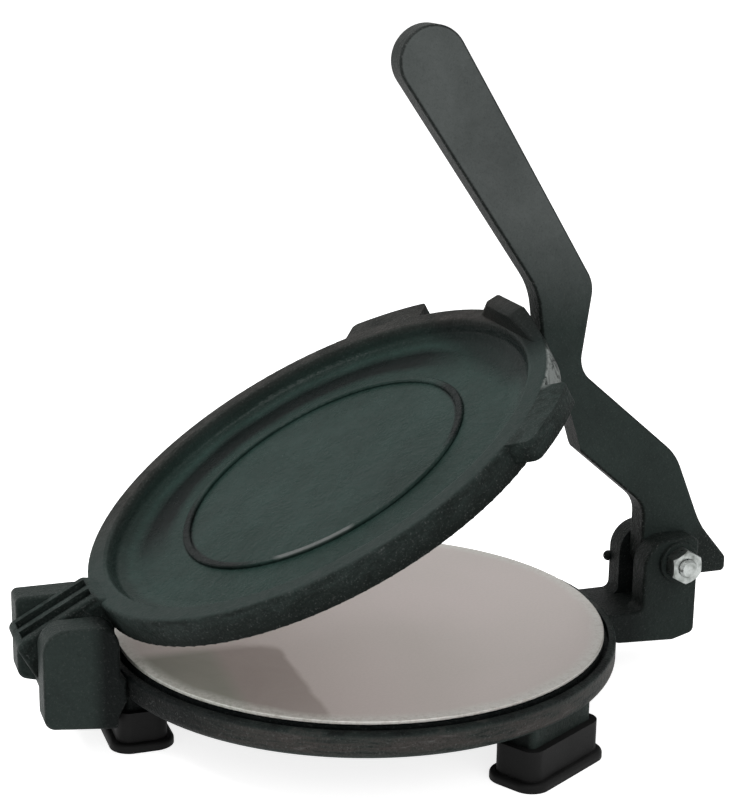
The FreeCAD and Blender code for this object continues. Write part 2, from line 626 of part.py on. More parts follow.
def hexagon(x, z, flats, y_low, y_high):
    """Hexagonal prism along Y, its corners chamfered at both ends."""
    corner = flats / math.sqrt(3)
    points = []
    for i in range(6):
        angle = math.radians(60 * i + 30)
        points.append((x + corner * math.cos(angle), z + corner * math.sin(angle), 0))
    prism = slab_xz(points, y_low, y_high)
    turned_blank = bore_y(x, z, corner, y_low, y_high)
    rims = [edge for edge in turned_blank.Edges if edge.BoundBox.YLength < HEX_CORNER_CHAMFER]
    return prism.common(turned_blank.makeChamfer(HEX_CORNER_CHAMFER, rims))


def lever_bolt():
    """Bolt with its head on the far ear and its threaded end past the near ear."""
    seat = CLEVIS_OUTER_Y
    head_end = seat + BOLT_HEAD_HEIGHT
    head = hexagon(PIVOT_X, PIVOT_HEIGHT, BOLT_HEAD_FLATS, seat, head_end)
    shank = chamfered_pin(
        PIVOT_X, PIVOT_HEIGHT, BOLT_RADIUS, seat - BOLT_LENGTH, (seat + head_end) / 2)
    return head.fuse(shank).removeSplitter()


def lever_nut():
    """Nut on the boss of the near ear."""
    outer = NUT_SEAT_Y - NUT_HEIGHT
    nut = hexagon(PIVOT_X, PIVOT_HEIGHT, BOLT_HEAD_FLATS, outer, NUT_SEAT_Y)
    return nut.cut(bore_y(
        PIVOT_X, PIVOT_HEIGHT, BOLT_RADIUS + NUT_FIT, outer - OVERRUN, NUT_SEAT_Y + OVERRUN))


def hinge_pin():
    """Plain pin in the hinge ears and the tongue, put in from the far side."""
    return chamfered_pin(
        HINGE_X, HINGE_HEIGHT, HINGE_PIN_RADIUS,
        HINGE_BORE_END_Y + HINGE_PIN_RECESS, HINGE_EAR_OUTER_Y - HINGE_PIN_RECESS)


def pieces():
    """Every separate piece of the press by name."""
    made = {
        "base_casting": base_casting(),
        "lower_press_disc": rounded_disc(
            PRESS_DISC_RADIUS, -PRESS_DISC_THICKNESS, 0, PRESS_DISC_EDGE_ROUND),
        "lower_disc_bond": disc(PRESS_DISC_RADIUS - BOND_INSET, LOWER_SEAT_Z, -PRESS_DISC_THICKNESS),
        "hinge_pin": hinge_pin(),
        "lever_bolt": lever_bolt(),
        "lever_nut": lever_nut(),
        "upper_plate_casting": upper_plate_casting(),
        "upper_press_disc": opened(rounded_disc(
            UPPER_DISC_RADIUS, CLOSED_GAP, CLOSED_GAP + PRESS_DISC_THICKNESS, PRESS_DISC_EDGE_ROUND)),
        "upper_disc_bond": opened(disc(
            UPPER_DISC_RADIUS - BOND_INSET, CLOSED_GAP + PRESS_DISC_THICKNESS, UPPER_SEAT_Z)),
        "lever": lever(),
    }
    for name, angle in zip(LEG_NAMES, LEG_ANGLES):
        made["rubber_foot_" + name] = rubber_foot(angle)
    return made


os.makedirs("parts", exist_ok=True)
for piece_name, piece_shape in pieces().items():
    piece_shape.exportStep("parts/" + piece_name + ".step")
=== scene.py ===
"""Looks of a tortilla press: cast materials, sheet steel, rubber, zinc, light and camera. Metres."""
import math

import bmesh
import bpy
from mathutils import Matrix, Vector


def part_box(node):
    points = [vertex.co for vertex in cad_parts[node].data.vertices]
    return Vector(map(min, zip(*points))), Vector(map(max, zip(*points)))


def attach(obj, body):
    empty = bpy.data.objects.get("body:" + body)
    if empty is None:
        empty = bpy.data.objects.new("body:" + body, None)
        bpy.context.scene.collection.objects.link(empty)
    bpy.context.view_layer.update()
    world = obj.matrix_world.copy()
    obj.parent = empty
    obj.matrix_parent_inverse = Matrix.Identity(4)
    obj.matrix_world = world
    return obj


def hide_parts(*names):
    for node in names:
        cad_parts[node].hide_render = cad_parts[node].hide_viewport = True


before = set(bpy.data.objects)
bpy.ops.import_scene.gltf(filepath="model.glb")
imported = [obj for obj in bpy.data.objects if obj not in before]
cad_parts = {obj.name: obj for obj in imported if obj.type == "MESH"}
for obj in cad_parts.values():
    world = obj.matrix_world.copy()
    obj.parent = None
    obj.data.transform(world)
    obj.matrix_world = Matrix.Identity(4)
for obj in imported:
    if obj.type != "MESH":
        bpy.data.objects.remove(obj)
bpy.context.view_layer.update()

# Camera of the photograph; the sensor spans the taller side of the picture
CAMERA_PLACE = Vector((-0.23350, -0.66697, 0.28234))
CAMERA_RIGHT = Vector((0.94381, -0.33018, 0.01439))
CAMERA_UP = Vector((0.07246, 0.24921, 0.96574))
CAMERA_FOCAL_PX = 1835.3
CAMERA_NEAREST = 0.01
CAMERA_FARTHEST = 100.0
PHOTO_HEIGHT_PX = 800
SENSOR_MM = 36.0

# Floor, surrounding light and lamps; the floor's glow is seen but lights nothing
FLOOR_Z = -0.035
FLOOR_REACH = 12.0
FLOOR_COLOR = (0.80, 0.80, 0.80)
FLOOR_GLOW = 0.80
WORLD_LIGHT = 0.48
WORLD_SEEN = 1.0
LAMP_TARGET = (0.0, 0.0, 0.05)
KEY_LIGHT_PLACE = (-0.9, 0.3, 1.6)
KEY_LIGHT_SIZE = (0.8, 0.8)
KEY_LIGHT_WATTS = 26.0
FRONT_LIGHT_PLACE = (0.2, -1.6, 0.9)
FRONT_LIGHT_SIZE = (2.4, 1.4)
FRONT_LIGHT_WATTS = 10.0

# Hinge of the upper plate, and how far the plate is modelled open
HINGE = (-0.126, 0.0, 0.0023)
HINGE_AXIS = (0, 1, 0)
OPENING = math.radians(29.0)

# Colours, linear
WHITE = (1.0, 1.0, 1.0)
DISH_LIGHT = (0.018, 0.036, 0.031)
DISH_DARK = (0.009, 0.021, 0.017)
DISH_RIM = (0.031, 0.038, 0.036)
DISH_RIM_BROWN = (0.033, 0.029, 0.027)
IRON_MID = (0.027, 0.038, 0.034)
IRON_LOW = (0.018, 0.025, 0.023)
IRON_DARK = (0.006, 0.008, 0.007)
IRON_BLACK = (0.002, 0.003, 0.003)
IRON_BROWN = (0.050, 0.044, 0.041)
IRON_PALE = (0.150, 0.155, 0.152)
# Painted highlight on the plate's outer wall by the lever
IRON_PAINTED_HIGHLIGHT = (0.240, 0.260, 0.250)
IRON_RUBBED = (0.110, 0.121, 0.118)
IRON_RUBBED_LOW = (0.082, 0.092, 0.089)
STEEL_WARM = (0.540, 0.480, 0.462)
STEEL_GREY = (0.540, 0.495, 0.470)
# Colours of the painted reflection of the upper plate; the grey-green one also dulls the disc's edge and
# grain
STEEL_REFLECTION_BROWN = (0.372, 0.322, 0.300)
STEEL_DULLING_AND_REFLECTION = (0.290, 0.300, 0.250)
STEEL_EDGE = (0.600, 0.600, 0.565)
PIN_LIGHT = (0.10, 0.10, 0.10)
PIN_DARK = (0.06, 0.06, 0.06)
RUBBER_BLACK = (0.003, 0.003, 0.003)
RUBBER_DUST = (0.009, 0.009, 0.009)
ZINC_BRIGHT = (0.36, 0.38, 0.37)
ZINC_DULL = (0.12, 0.13, 0.12)
BOND_DARK = (0.012, 0.012, 0.012)
BOND_LIGHT = (0.025, 0.025, 0.024)

# Strength of the clear reflection on surfaces that aren't metal
DISH_GLOSS = 0.04
IRON_GLOSS = 0.08
RUBBER_GLOSS = 0.14

# Spans of a noise: most of its values lie in the first one, nearly all of them in the second
NOISE_USUAL = (0.35, 0.65)
NOISE_WIDE = (0.3, 0.7)


class Nodes:
    """Short calls for building shader nodes; a value is a number, a colour or another node's socket."""

    def __init__(self, owner, output_kind):
        owner.use_nodes = True
        self.tree = owner.node_tree
        self.tree.nodes.clear()
        self.out = self.node(output_kind)

    def node(self, kind, **fields):
        made = self.tree.nodes.new(kind)
        for key, value in fields.items():
            setattr(made, key, value)
        return made

    def link(self, source, target):
        self.tree.links.new(source, target)

    def put(self, socket, value):
        if isinstance(value, bpy.types.NodeSocket):
            self.link(value, socket)
        elif isinstance(value, tuple):
            socket.default_value = (*value, 1.0)
        else:
            socket.default_value = value

    def math(self, operation, a, b=0.0):
        made = self.node("ShaderNodeMath", operation=operation)
        self.put(made.inputs[0], a)
        self.put(made.inputs[1], b)
        return made.outputs[0]

    def plus(self, a, b):
        return self.math("ADD", a, b)

    def times(self, a, b):
        return self.math("MULTIPLY", a, b)

    def larger(self, a, b):
        return self.math("MAXIMUM", a, b)

    def seen_directly(self):
        """1 for what the camera, a reflection or a view through glass shows, 0 for light cast."""
        paths = self.node("ShaderNodeLightPath").outputs
        return self.larger(paths["Is Camera Ray"],
                           self.larger(paths["Is Glossy Ray"], paths["Is Transmission Ray"]))


class Shade(Nodes):
    """A material and its nodes."""

    def __init__(self, name):
        self.material = bpy.data.materials.new(name)
        super().__init__(self.material, "ShaderNodeOutputMaterial")

    def place(self, turn=False):
        """Row-frame position of the surface, turned back to the closed plate's frame on request."""
        coords = self.node("ShaderNodeTexCoord").outputs["Object"]
        if not turn:
            return coords
        rotate = self.node("ShaderNodeVectorRotate", rotation_type="AXIS_ANGLE")
        self.link(coords, rotate.inputs["Vector"])
        rotate.inputs["Center"].default_value = HINGE
        rotate.inputs["Axis"].default_value = HINGE_AXIS
        rotate.inputs["Angle"].default_value = OPENING
        return rotate.outputs["Vector"]

    def scaled(self, vector, scale):
        mapping = self.node("ShaderNodeMapping")
        self.link(vector, mapping.inputs["Vector"])
        mapping.inputs["Scale"].default_value = scale
        return mapping.outputs["Vector"]

    def noise(self, vector, scale, detail, rough, distortion=0.0):
        """Noise from 0 to 1; the scale is its number of waves in a metre."""
        made = self.node("ShaderNodeTexNoise")
        self.link(vector, made.inputs["Vector"])
        made.inputs["Scale"].default_value = scale
        made.inputs["Detail"].default_value = detail
        made.inputs["Roughness"].default_value = rough
        made.inputs["Distortion"].default_value = distortion
        return made.outputs["Fac"]

    def cells(self, vector, scale):
        """Distance to the nearest of many scattered points, as in packed grains."""
        made = self.node("ShaderNodeTexVoronoi", feature="F1")
        self.link(vector, made.inputs["Vector"])
        made.inputs["Scale"].default_value = scale
        return made.outputs["Distance"]

    def spread(self, value, low, high, to_low=0.0, to_high=1.0):
        """The value's part of the way from low to high, held at the ends; low may be the larger."""
        made = self.node("ShaderNodeMapRange")
        self.put(made.inputs["Value"], value)
        made.inputs["From Min"].default_value = low
        made.inputs["From Max"].default_value = high
        made.inputs["To Min"].default_value = to_low
        made.inputs["To Max"].default_value = to_high
        return made.outputs["Result"]

    def band(self, value, edges, soft):
        """1 between the two edges, fading to 0 over soft on both sides."""
        low, high = edges
        return self.times(self.spread(value, low - soft, low), self.spread(value, high + soft, high))

    def wander(self, noise, reach):
        """A small shift either way, half the reach at most."""
        return self.times(self.math("SUBTRACT", noise, 0.5), reach)

    def mix(self, factor, a, b):
        made = self.node("ShaderNodeMix", data_type="RGBA", blend_type="MIX")
        self.put(made.inputs["Factor"], factor)
        self.put(made.inputs[6], a)
        self.put(made.inputs[7], b)
        return made.outputs[2]

    def tint(self, color, other, mask, share):
        """The colour, drawn to the other one by the mask times the share."""
        return self.mix(self.times(mask, share), color, other)

    def split(self, vector):
        made = self.node("ShaderNodeSeparateXYZ")
        self.link(vector, made.inputs[0])
        return made.outputs

    def radius(self, x, y):
        return self.math("SQRT", self.plus(self.times(x, x), self.times(y, y)))

    def facing_side(self):
        """1 where the surface faces straight along Y, either way, and less elsewhere."""
        _, across, _ = self.split(self.node("ShaderNodeTexCoord").outputs["Normal"])
        return self.math("ABSOLUTE", across)

    def bump(self, height, strength, distance, normal=None):
        made = self.node("ShaderNodeBump")
        self.link(height, made.inputs["Height"])
        made.inputs["Strength"].default_value = strength
        made.inputs["Distance"].default_value = distance
        if normal is not None:
            self.link(normal, made.inputs["Normal"])
        return made.outputs["Normal"]

    def surface(self, color, roughness, normal, metallic=0.0, specular=0.5):
        shader = self.node("ShaderNodeBsdfPrincipled")
        self.put(shader.inputs["Base Color"], color)
        self.put(shader.inputs["Roughness"], roughness)
        shader.inputs["Metallic"].default_value = metallic
        shader.inputs["Specular IOR Level"].default_value = specular
        if normal is not None:
            self.link(normal, shader.inputs["Normal"])
        self.link(shader.outputs[0], self.out.inputs["Surface"])
        return self.material


def casting_grain(s, place, fine, coarse):
    """Grain of the sand mould: returns fine speckle, coarser mottle and the bumped normal."""
    speckle = s.noise(place, scale=1150.0, detail=3.0, rough=0.75)
    sand = s.cells(place, scale=700.0)
    mottle = s.noise(place, scale=330.0, detail=4.0, rough=0.7, distortion=0.4)
    swell = s.noise(place, scale=85.0, detail=3.0, rough=0.6)
    height = s.plus(s.times(speckle, 0.6), s.times(sand, 0.4))
    height = s.plus(height, s.times(mottle, 0.9))
    normal = s.bump(height, fine, distance=0.0007)
    normal = s.bump(swell, coarse, distance=0.0014, normal=normal)
    return speckle, mottle, normal


def iron_color(s, place, mottle, light, dark):
    """Oiled iron: greenish grey, mottled, with soft clouds and darker oil stains."""
    clouds = s.noise(place, scale=30.0, detail=4.0, rough=0.6, distortion=0.6)
    stains = s.noise(place, scale=13.0, detail=3.0, rough=0.55, distortion=0.3)
    cloudy = s.times(s.spread(clouds, 0.36, 0.66), 0.6)
    mottled = s.spread(mottle, *NOISE_USUAL, to_high=0.4)
    color = s.mix(s.plus(cloudy, mottled), dark, light)
    return s.tint(color, IRON_DARK, s.spread(stains, 0.52, 0.72), share=0.35)


def speckled(s, color, speckle, amount):
    """Light and dark grains over a colour; the amount is a number or a socket."""
    color = s.tint(color, IRON_PALE, s.spread(speckle, 0.57, 0.74), amount)
    return s.tint(color, IRON_BLACK, s.spread(speckle, 0.46, 0.32), amount)


# Places on the closed upper plate, in metres. X runs to the lever, Y to the far side, Z up.
# Two numbers are where a mark starts to show and where it is full, or the edges of a band.
PLATE_RADIUS = 0.1025
PLATE_RIM_INNER = 0.0939
PLATE_RIM_TOP = 0.0129
RIM_TOP_RADII = (PLATE_RIM_INNER - 0.0020, PLATE_RIM_INNER + 0.0010)
RIM_TOP_Z = (PLATE_RIM_TOP - 0.0035, PLATE_RIM_TOP - 0.0012)
INNER_WALL_RADII = (0.0890, 0.0940)
INNER_WALL_SOFT = 0.0030
INNER_WALL_Z = (PLATE_RIM_TOP - 0.0006, PLATE_RIM_TOP - 0.0022)
OUTER_WALL_RADII = (PLATE_RADIUS - 0.0012, PLATE_RADIUS - 0.0004)
OUTER_WALL_LOW_Z = (0.0095, 0.0020)
FAR_SIDE_Y = (-0.005, 0.050)
FAR_SIDE_SLANT = 0.25
# Where the painted highlight lies on the plate's outer wall by the lever
HIGHLIGHT_X = (0.070, 0.082)
HIGHLIGHT_Y = (-0.062, -0.038)
HIGHLIGHT_SOFT = 0.006
# Where the painted shade lies at the foot of the dish's wall and next to the lever
SHADE_WANDER = 0.008
SHADE_FOOT_RADII = (0.0720, 0.0810)
SHADE_FOOT_SOFT = 0.0050
SHADE_FOOT_Y = (0.010, 0.040)
SHADE_LEVER_X = (0.0740, 0.0820)
SHADE_LEVER_Y = (-0.042, -0.024)
# Where the painted shadow and the painted highlight lie on the raised ring
RING_RADII = (0.0592, 0.0622)
RING_SOFT = 0.0010
RING_LEVER_X = (0.036, 0.046)
RING_LEVER_Y = (0.012, 0.000)
RING_HINGE_X = (-0.040, -0.052)
CROWN_RADII = (0.0600, 0.0620)
CROWN_SOFT = 0.0006
CROWN_X = (-0.036, -0.010)
CROWN_X_SOFT = 0.003
CROWN_Y = (-0.044, -0.048)


def painted_wall_shade(s, color, place, x, y, radius):
    """Painted shade: black along the foot of the dish's wall on the far side, and next to the lever."""
    drift = s.wander(s.noise(place, scale=28.0, detail=3.0, rough=0.6), SHADE_WANDER)
    foot = s.band(s.plus(radius, drift), SHADE_FOOT_RADII, SHADE_FOOT_SOFT)
    by_lever = s.times(s.spread(s.plus(x, drift), *SHADE_LEVER_X), s.spread(y, *SHADE_LEVER_Y))
    painted_shade = s.larger(s.times(foot, s.spread(y, *SHADE_FOOT_Y)), s.times(by_lever, 0.75))
    return s.tint(color, IRON_BLACK, painted_shade, share=0.90)


def ring_shadow_and_highlight(s, color, x, y, radius):
    """Raised ring: painted shadow over it, strong at its lever and hinge ends and faint between them, and
    a painted highlight on its top at the near side.
    """
    lever_arc = s.times(s.spread(x, *RING_LEVER_X), s.spread(y, *RING_LEVER_Y))
    hinge_arc = s.spread(x, *RING_HINGE_X)
    faint = 0.10
    arcs = s.larger(s.larger(lever_arc, hinge_arc), faint)
    color = s.tint(color, IRON_BLACK, s.times(s.band(radius, RING_RADII, RING_SOFT), arcs), share=0.90)
    near = s.times(s.band(x, CROWN_X, CROWN_X_SOFT), s.spread(y, *CROWN_Y))
    return s.tint(color, IRON_PALE, s.times(s.band(radius, CROWN_RADII, CROWN_SOFT), near), share=0.60)


def plate_iron():
    """Upper plate: oily dish with painted shade at the foot of its wall and on its inner wall, painted
    shadow and highlight on the ring, a painted highlight by the lever; rim rougher and browner on the far
    side.
    """
    s = Shade("cast_iron_plate")
    place = s.place(turn=True)
    x, y, z = s.split(place)
    radius = s.radius(x, y)
    speckle, mottle, normal = casting_grain(s, place, fine=0.40, coarse=0.35)
    color = iron_color(s, place, mottle, DISH_LIGHT, DISH_DARK)
    rim_top = s.times(s.spread(radius, *RIM_TOP_RADII), s.spread(z, *RIM_TOP_Z))
    inner_wall = s.times(s.band(radius, INNER_WALL_RADII, INNER_WALL_SOFT), s.spread(z, *INNER_WALL_Z))
    outer_wall = s.spread(radius, *OUTER_WALL_RADII)
    far_side = s.spread(s.plus(y, s.times(x, FAR_SIDE_SLANT)), *FAR_SIDE_Y)
    far_rim = s.times(rim_top, far_side)
    edge = s.larger(far_rim, outer_wall)
    upright = s.scaled(place, (1.0, 1.0, 3.0))
    streaks = s.noise(upright, scale=75.0, detail=5.0, rough=0.75, distortion=0.8)
    streaks = s.spread(streaks, 0.40, 0.62)

    worn = s.spread(mottle, *NOISE_USUAL, to_low=0.55, to_high=0.85)
    color = s.tint(color, DISH_RIM, s.larger(rim_top, outer_wall), worn)
    # Painted shade on the dish's inner wall
    color = s.tint(color, IRON_DARK, inner_wall, share=0.45)
    # Painted shade at the foot of the far wall and next to the lever
    color = painted_wall_shade(s, color, place, x, y, radius)
    color = s.tint(color, DISH_RIM_BROWN, far_rim, share=0.75)
    color = s.tint(color, IRON_DARK, s.times(edge, streaks), share=0.70)
    color = s.tint(color, IRON_DARK, outer_wall, s.spread(z, *OUTER_WALL_LOW_Z, to_low=0.15, to_high=0.90))
    # Painted highlight on the outer wall next to the lever
    wear_and_highlight = s.times(s.times(outer_wall, s.band(y, HIGHLIGHT_Y, HIGHLIGHT_SOFT)),
                     s.times(s.spread(x, *HIGHLIGHT_X), s.spread(streaks, 0.9, 0.3)))
    color = s.tint(color, IRON_PAINTED_HIGHLIGHT, wear_and_highlight, share=0.9)
    # Painted shadow and highlight on the raised ring
    color = ring_shadow_and_highlight(s, color, x, y, radius)
    drawn_out = s.scaled(place, (1.0, 3.5, 1.0))
    marks = s.noise(drawn_out, scale=60.0, detail=5.0, rough=0.7, distortion=1.6)
    color = s.tint(color, IRON_BLACK, s.spread(marks, 0.67, 0.74), share=0.5)
    color = speckled(s, color, speckle, s.plus(0.14, s.times(edge, 0.28)))

    sheen = s.noise(place, scale=55.0, detail=4.0, rough=0.65, distortion=0.5)
    sheen = s.spread(sheen, *NOISE_USUAL, to_low=0.20, to_high=0.30)
    rough = s.plus(sheen, s.times(s.larger(edge, rim_top), 0.35))
    return s.surface(color, rough, normal, specular=DISH_GLOSS)


# Places on the base, in metres, in the row frame; two numbers are as above
BASE_RADIUS = 0.105
BASE_DISC_RADII = (BASE_RADIUS + 0.0009, BASE_RADIUS + 0.0002)
BASE_LIP_Z = (-0.0045, -0.0032)
BASE_WALL_RADII = (BASE_RADIUS - 0.0008, BASE_RADIUS - 0.0003)
BASE_WALL_Z = (-0.0034, -0.0050)
# Where the painted shade lies inside the lip and in the corners by the hinge ears and the clevis
INSIDE_LIP_RADII = (0.1026, 0.1018)
HINGE_CORNER_RADII = (0.1195, 0.1140)
HINGE_CORNER_X = (-0.066, -0.088)
CLEVIS_CORNER_END_X = (0.1260, 0.1160)
CLEVIS_CORNER_START_X = (0.1040, 0.1070)
# Where the painted shade on the underside lies
UNDERSIDE_Z = (-0.0105, -0.0135)
UNDERSIDE_RADII = (0.1040, 0.1030)
CLEVIS_X = (0.108, 0.114)
# Where the painted shade between the clevis ears lies
CLEVIS_INSIDE_Y = (-0.0085, -0.0050)
CLEVIS_INSIDE_Z = (-0.0095, -0.0050)


def streaked_wall(s, color, place, wall):
    """Outer wall: brown upright streaks, with a few pale and a few black ones."""
    upright = s.scaled(place, (1.0, 1.0, 7.0))
    streaks = s.noise(upright, scale=55.0, detail=5.0, rough=0.7, distortion=0.6)
    color = s.tint(color, IRON_BROWN, wall, s.spread(streaks, 0.36, 0.58, to_low=0.15, to_high=0.90))
    color = s.tint(color, IRON_PALE, wall, s.spread(streaks, 0.60, 0.70, to_high=0.35))
    return s.tint(color, IRON_BLACK, wall, s.spread(streaks, 0.45, 0.32, to_high=0.8))


def shaded_lip(s, color, place, lip):
    """Lip: painted shade, black where the noise is low, a little brown where it is high."""
    lip_patches = s.spread(s.noise(place, scale=60.0, detail=4.0, rough=0.7), 0.40, 0.62)
    color = s.tint(color, IRON_BLACK, lip, s.spread(lip_patches, 0.0, 1.0, to_low=0.90, to_high=0.25))
    return s.tint(color, IRON_BROWN, lip, s.spread(lip_patches, 0.75, 1.0, to_high=0.35))


def painted_corner_shade(s, color, x, radius):
    """Painted shade: black inside the lip, and where the hinge ears and the clevis meet the disc."""
    color = s.tint(color, IRON_BLACK, s.spread(radius, *INSIDE_LIP_RADII), share=0.9)
    by_hinge = s.times(s.spread(radius, *HINGE_CORNER_RADII), s.spread(x, *HINGE_CORNER_X))
    by_clevis = s.times(s.spread(x, *CLEVIS_CORNER_END_X), s.spread(x, *CLEVIS_CORNER_START_X))
    return s.tint(color, IRON_BLACK, s.larger(by_hinge, s.times(by_clevis, 0.8)), share=0.92)


def base_iron():
    """Base: streaked brown-grey lip and outer wall, green-grey ears and clevis; painted shade over the
    lip, in the corners, underneath, between the clevis ears and on faces that don't face along Y.
    """
    s = Shade("cast_iron_base")
    place = s.place()
    x, y, z = s.split(place)
    radius = s.radius(x, y)
    speckle, mottle, normal = casting_grain(s, place, fine=0.7, coarse=0.5)
    color = iron_color(s, place, mottle, IRON_MID, IRON_LOW)
    on_disc = s.spread(radius, *BASE_DISC_RADII)
    lip = s.times(on_disc, s.spread(z, *BASE_LIP_Z))
    wall = s.times(s.times(on_disc, s.spread(radius, *BASE_WALL_RADII)), s.spread(z, *BASE_WALL_Z))
    low = s.spread(z, *UNDERSIDE_Z)
    clevis = s.spread(x, *CLEVIS_X)
    clevis_inside = s.times(s.spread(y, *CLEVIS_INSIDE_Y), s.spread(z, *CLEVIS_INSIDE_Z))
    edge_face = s.times(s.spread(s.facing_side(), 0.97, 0.85), s.spread(on_disc, 1.0, 0.0))

    color = streaked_wall(s, color, place, wall)
    # Painted shade over the lip
    color = shaded_lip(s, color, place, lip)
    # Painted shade in the corners
    color = painted_corner_shade(s, color, x, radius)
    # Painted shade on the underside and along the bottom of the outer wall
    color = s.tint(color, IRON_DARK, s.times(low, s.spread(radius, *UNDERSIDE_RADII)), share=0.55)
    color = s.tint(color, IRON_BLACK, s.times(low, wall), share=0.75)
    color = s.tint(color, IRON_DARK, clevis, share=0.30)
    # Painted shade between the clevis ears
    color = s.tint(color, IRON_BLACK, s.times(clevis, clevis_inside), share=0.85)
    # Painted shade on faces outside the disc that don't face along Y
    color = s.tint(color, IRON_DARK, edge_face, share=0.45)
    color = speckled(s, color, speckle, s.plus(0.25, s.times(s.larger(edge_face, wall), 0.30)))

    rough = s.spread(speckle, *NOISE_WIDE, to_low=0.46, to_high=0.68)
    return s.surface(color, rough, normal, specular=IRON_GLOSS)


# Places on the lever, in metres, in the row frame; two numbers are as above
HANDLE_Z = (0.118, 0.165)
TOE_X = (0.146, 0.154)
TOE_Z = (0.030, 0.022)


def lever_iron():
    """Lever: dark oily arm, handle rubbed to a paler grey, painted shade on the rough edge faces, dark
    toe.
    """
    s = Shade("cast_iron_lever")
    place = s.place()
    x, _, z = s.split(place)
    speckle, mottle, normal = casting_grain(s, place, fine=0.6, coarse=0.45)
    edge = s.spread(s.facing_side(), 0.97, 0.80)
    toe = s.times(s.spread(x, *TOE_X), s.spread(z, *TOE_Z))

    arm = iron_color(s, place, mottle, IRON_MID, IRON_LOW)
    wear_and_highlight = iron_color(s, place, mottle, IRON_RUBBED, IRON_RUBBED_LOW)
    color = s.mix(s.spread(z, *HANDLE_Z), arm, wear_and_highlight)
    # Painted shade on the edge faces, which don't face along Y
    color = s.tint(color, IRON_DARK, edge, share=0.88)
    color = s.tint(color, IRON_DARK, toe, share=0.65)
    color = speckled(s, color, speckle, s.spread(s.larger(edge, toe), 0.0, 1.0, to_low=0.22, to_high=0.70))

    rough = s.spread(speckle, *NOISE_WIDE, to_low=0.48, to_high=0.66)
    return s.surface(color, rough, normal, specular=IRON_GLOSS)


# Places on a pressing disc, in metres, in the row frame; two numbers are as above
# Where the painted reflection of the upper plate lies
REFLECTION_WANDER = 0.006
REFLECTION_X = (-0.0400, -0.0425)
REFLECTION_Y = (-0.0100, -0.0180)
REFLECTION_SLANT = (-0.0600, -0.0680)
REFLECTION_BROWN_X = (-0.0640, -0.0700)
DISC_RIM_WANDER = 0.006
DISC_RIM_RADII = (0.0965, 0.1005)
DISC_DULL_RADII = (0.0940, 0.0975)


def sheet_steel(name):
    """Matt sheet steel: warm grey, pitted pale edge, and the upper plate's dark reflection painted on
    towards the hinge.
    """
    s = Shade(name)
    place = s.place()
    x, y, _ = s.split(place)
    radius = s.radius(x, y)
    cloud = s.noise(place, scale=12.0, detail=3.0, rough=0.5, distortion=0.3)
    fine = s.noise(place, scale=900.0, detail=2.0, rough=0.6)
    ragged = s.noise(place, scale=42.0, detail=4.0, rough=0.65, distortion=0.6)
    pits = s.spread(s.noise(place, scale=420.0, detail=5.0, rough=0.8), 0.42, 0.58)
    color = s.mix(s.spread(cloud, *NOISE_USUAL), STEEL_WARM, STEEL_GREY)

    # Painted reflection of the upper plate: grey-green nearest the hinge, brown further in
    ripple = s.wander(ragged, REFLECTION_WANDER)
    wavy_x = s.plus(x, ripple)
    wavy_y = s.plus(y, ripple)
    painted_reflection = s.times(s.spread(wavy_x, *REFLECTION_X), s.spread(wavy_y, *REFLECTION_Y))
    painted_reflection = s.times(painted_reflection, s.spread(s.plus(wavy_x, wavy_y), *REFLECTION_SLANT))
    reflection_color = s.mix(s.spread(wavy_x, *REFLECTION_BROWN_X), STEEL_REFLECTION_BROWN, STEEL_DULLING_AND_REFLECTION)
    color = s.tint(color, reflection_color, painted_reflection, s.spread(ragged, 0.25, 0.75, to_low=0.72, to_high=0.95))

    rim = s.spread(s.plus(radius, s.times(ragged, DISC_RIM_WANDER)), *DISC_RIM_RADII)
    color = s.tint(color, STEEL_EDGE, rim, s.spread(pits, 0.0, 1.0, to_low=0.45, to_high=0.85))
    dull = s.times(s.spread(radius, *DISC_DULL_RADII), s.spread(pits, 0.5, 0.0))
    color = s.tint(color, STEEL_DULLING_AND_REFLECTION, dull, share=0.25)
    color = s.mix(s.spread(fine, *NOISE_USUAL, to_high=0.10), color, STEEL_DULLING_AND_REFLECTION)

    normal = s.bump(fine, strength=0.06, distance=0.0002)
    normal = s.bump(cloud, strength=0.10, distance=0.001, normal=normal)
    rough = s.plus(s.spread(cloud, *NOISE_WIDE, to_low=0.42, to_high=0.52), s.times(painted_reflection, 0.12))
    return s.surface(color, rough, normal, metallic=0.60)


def rubber(name):
    """Moulded rubber, a little dusty."""
    s = Shade(name)
    place = s.place()
    grain = s.noise(place, scale=900.0, detail=3.0, rough=0.6)
    dust = s.noise(place, scale=45.0, detail=4.0, rough=0.6)
    color = s.mix(s.spread(dust, 0.4, 0.7), RUBBER_BLACK, RUBBER_DUST)
    rough = s.spread(dust, *NOISE_WIDE, to_low=0.55, to_high=0.75)
    return s.surface(color, rough, s.bump(grain, strength=0.25, distance=0.0003), specular=RUBBER_GLOSS)


def zinc(name):
    """Bright zinc plating with duller spots."""
    s = Shade(name)
    place = s.place()
    fine = s.noise(place, scale=500.0, detail=3.0, rough=0.6)
    spots = s.noise(place, scale=160.0, detail=3.0, rough=0.6)
    color = s.mix(s.spread(spots, 0.4, 0.65), ZINC_BRIGHT, ZINC_DULL)
    rough = s.spread(spots, *NOISE_WIDE, to_low=0.20, to_high=0.42)
    return s.surface(color, rough, s.bump(fine, strength=0.20, distance=0.0003), metallic=1.0)


def turned_steel(name):
    """Turned steel, slightly oiled."""
    s = Shade(name)
    fine = s.noise(s.place(), scale=600.0, detail=3.0, rough=0.6)
    color = s.mix(s.spread(fine, *NOISE_USUAL), PIN_LIGHT, PIN_DARK)
    return s.surface(color, 0.4, s.bump(fine, strength=0.2, distance=0.0002), metallic=0.7)


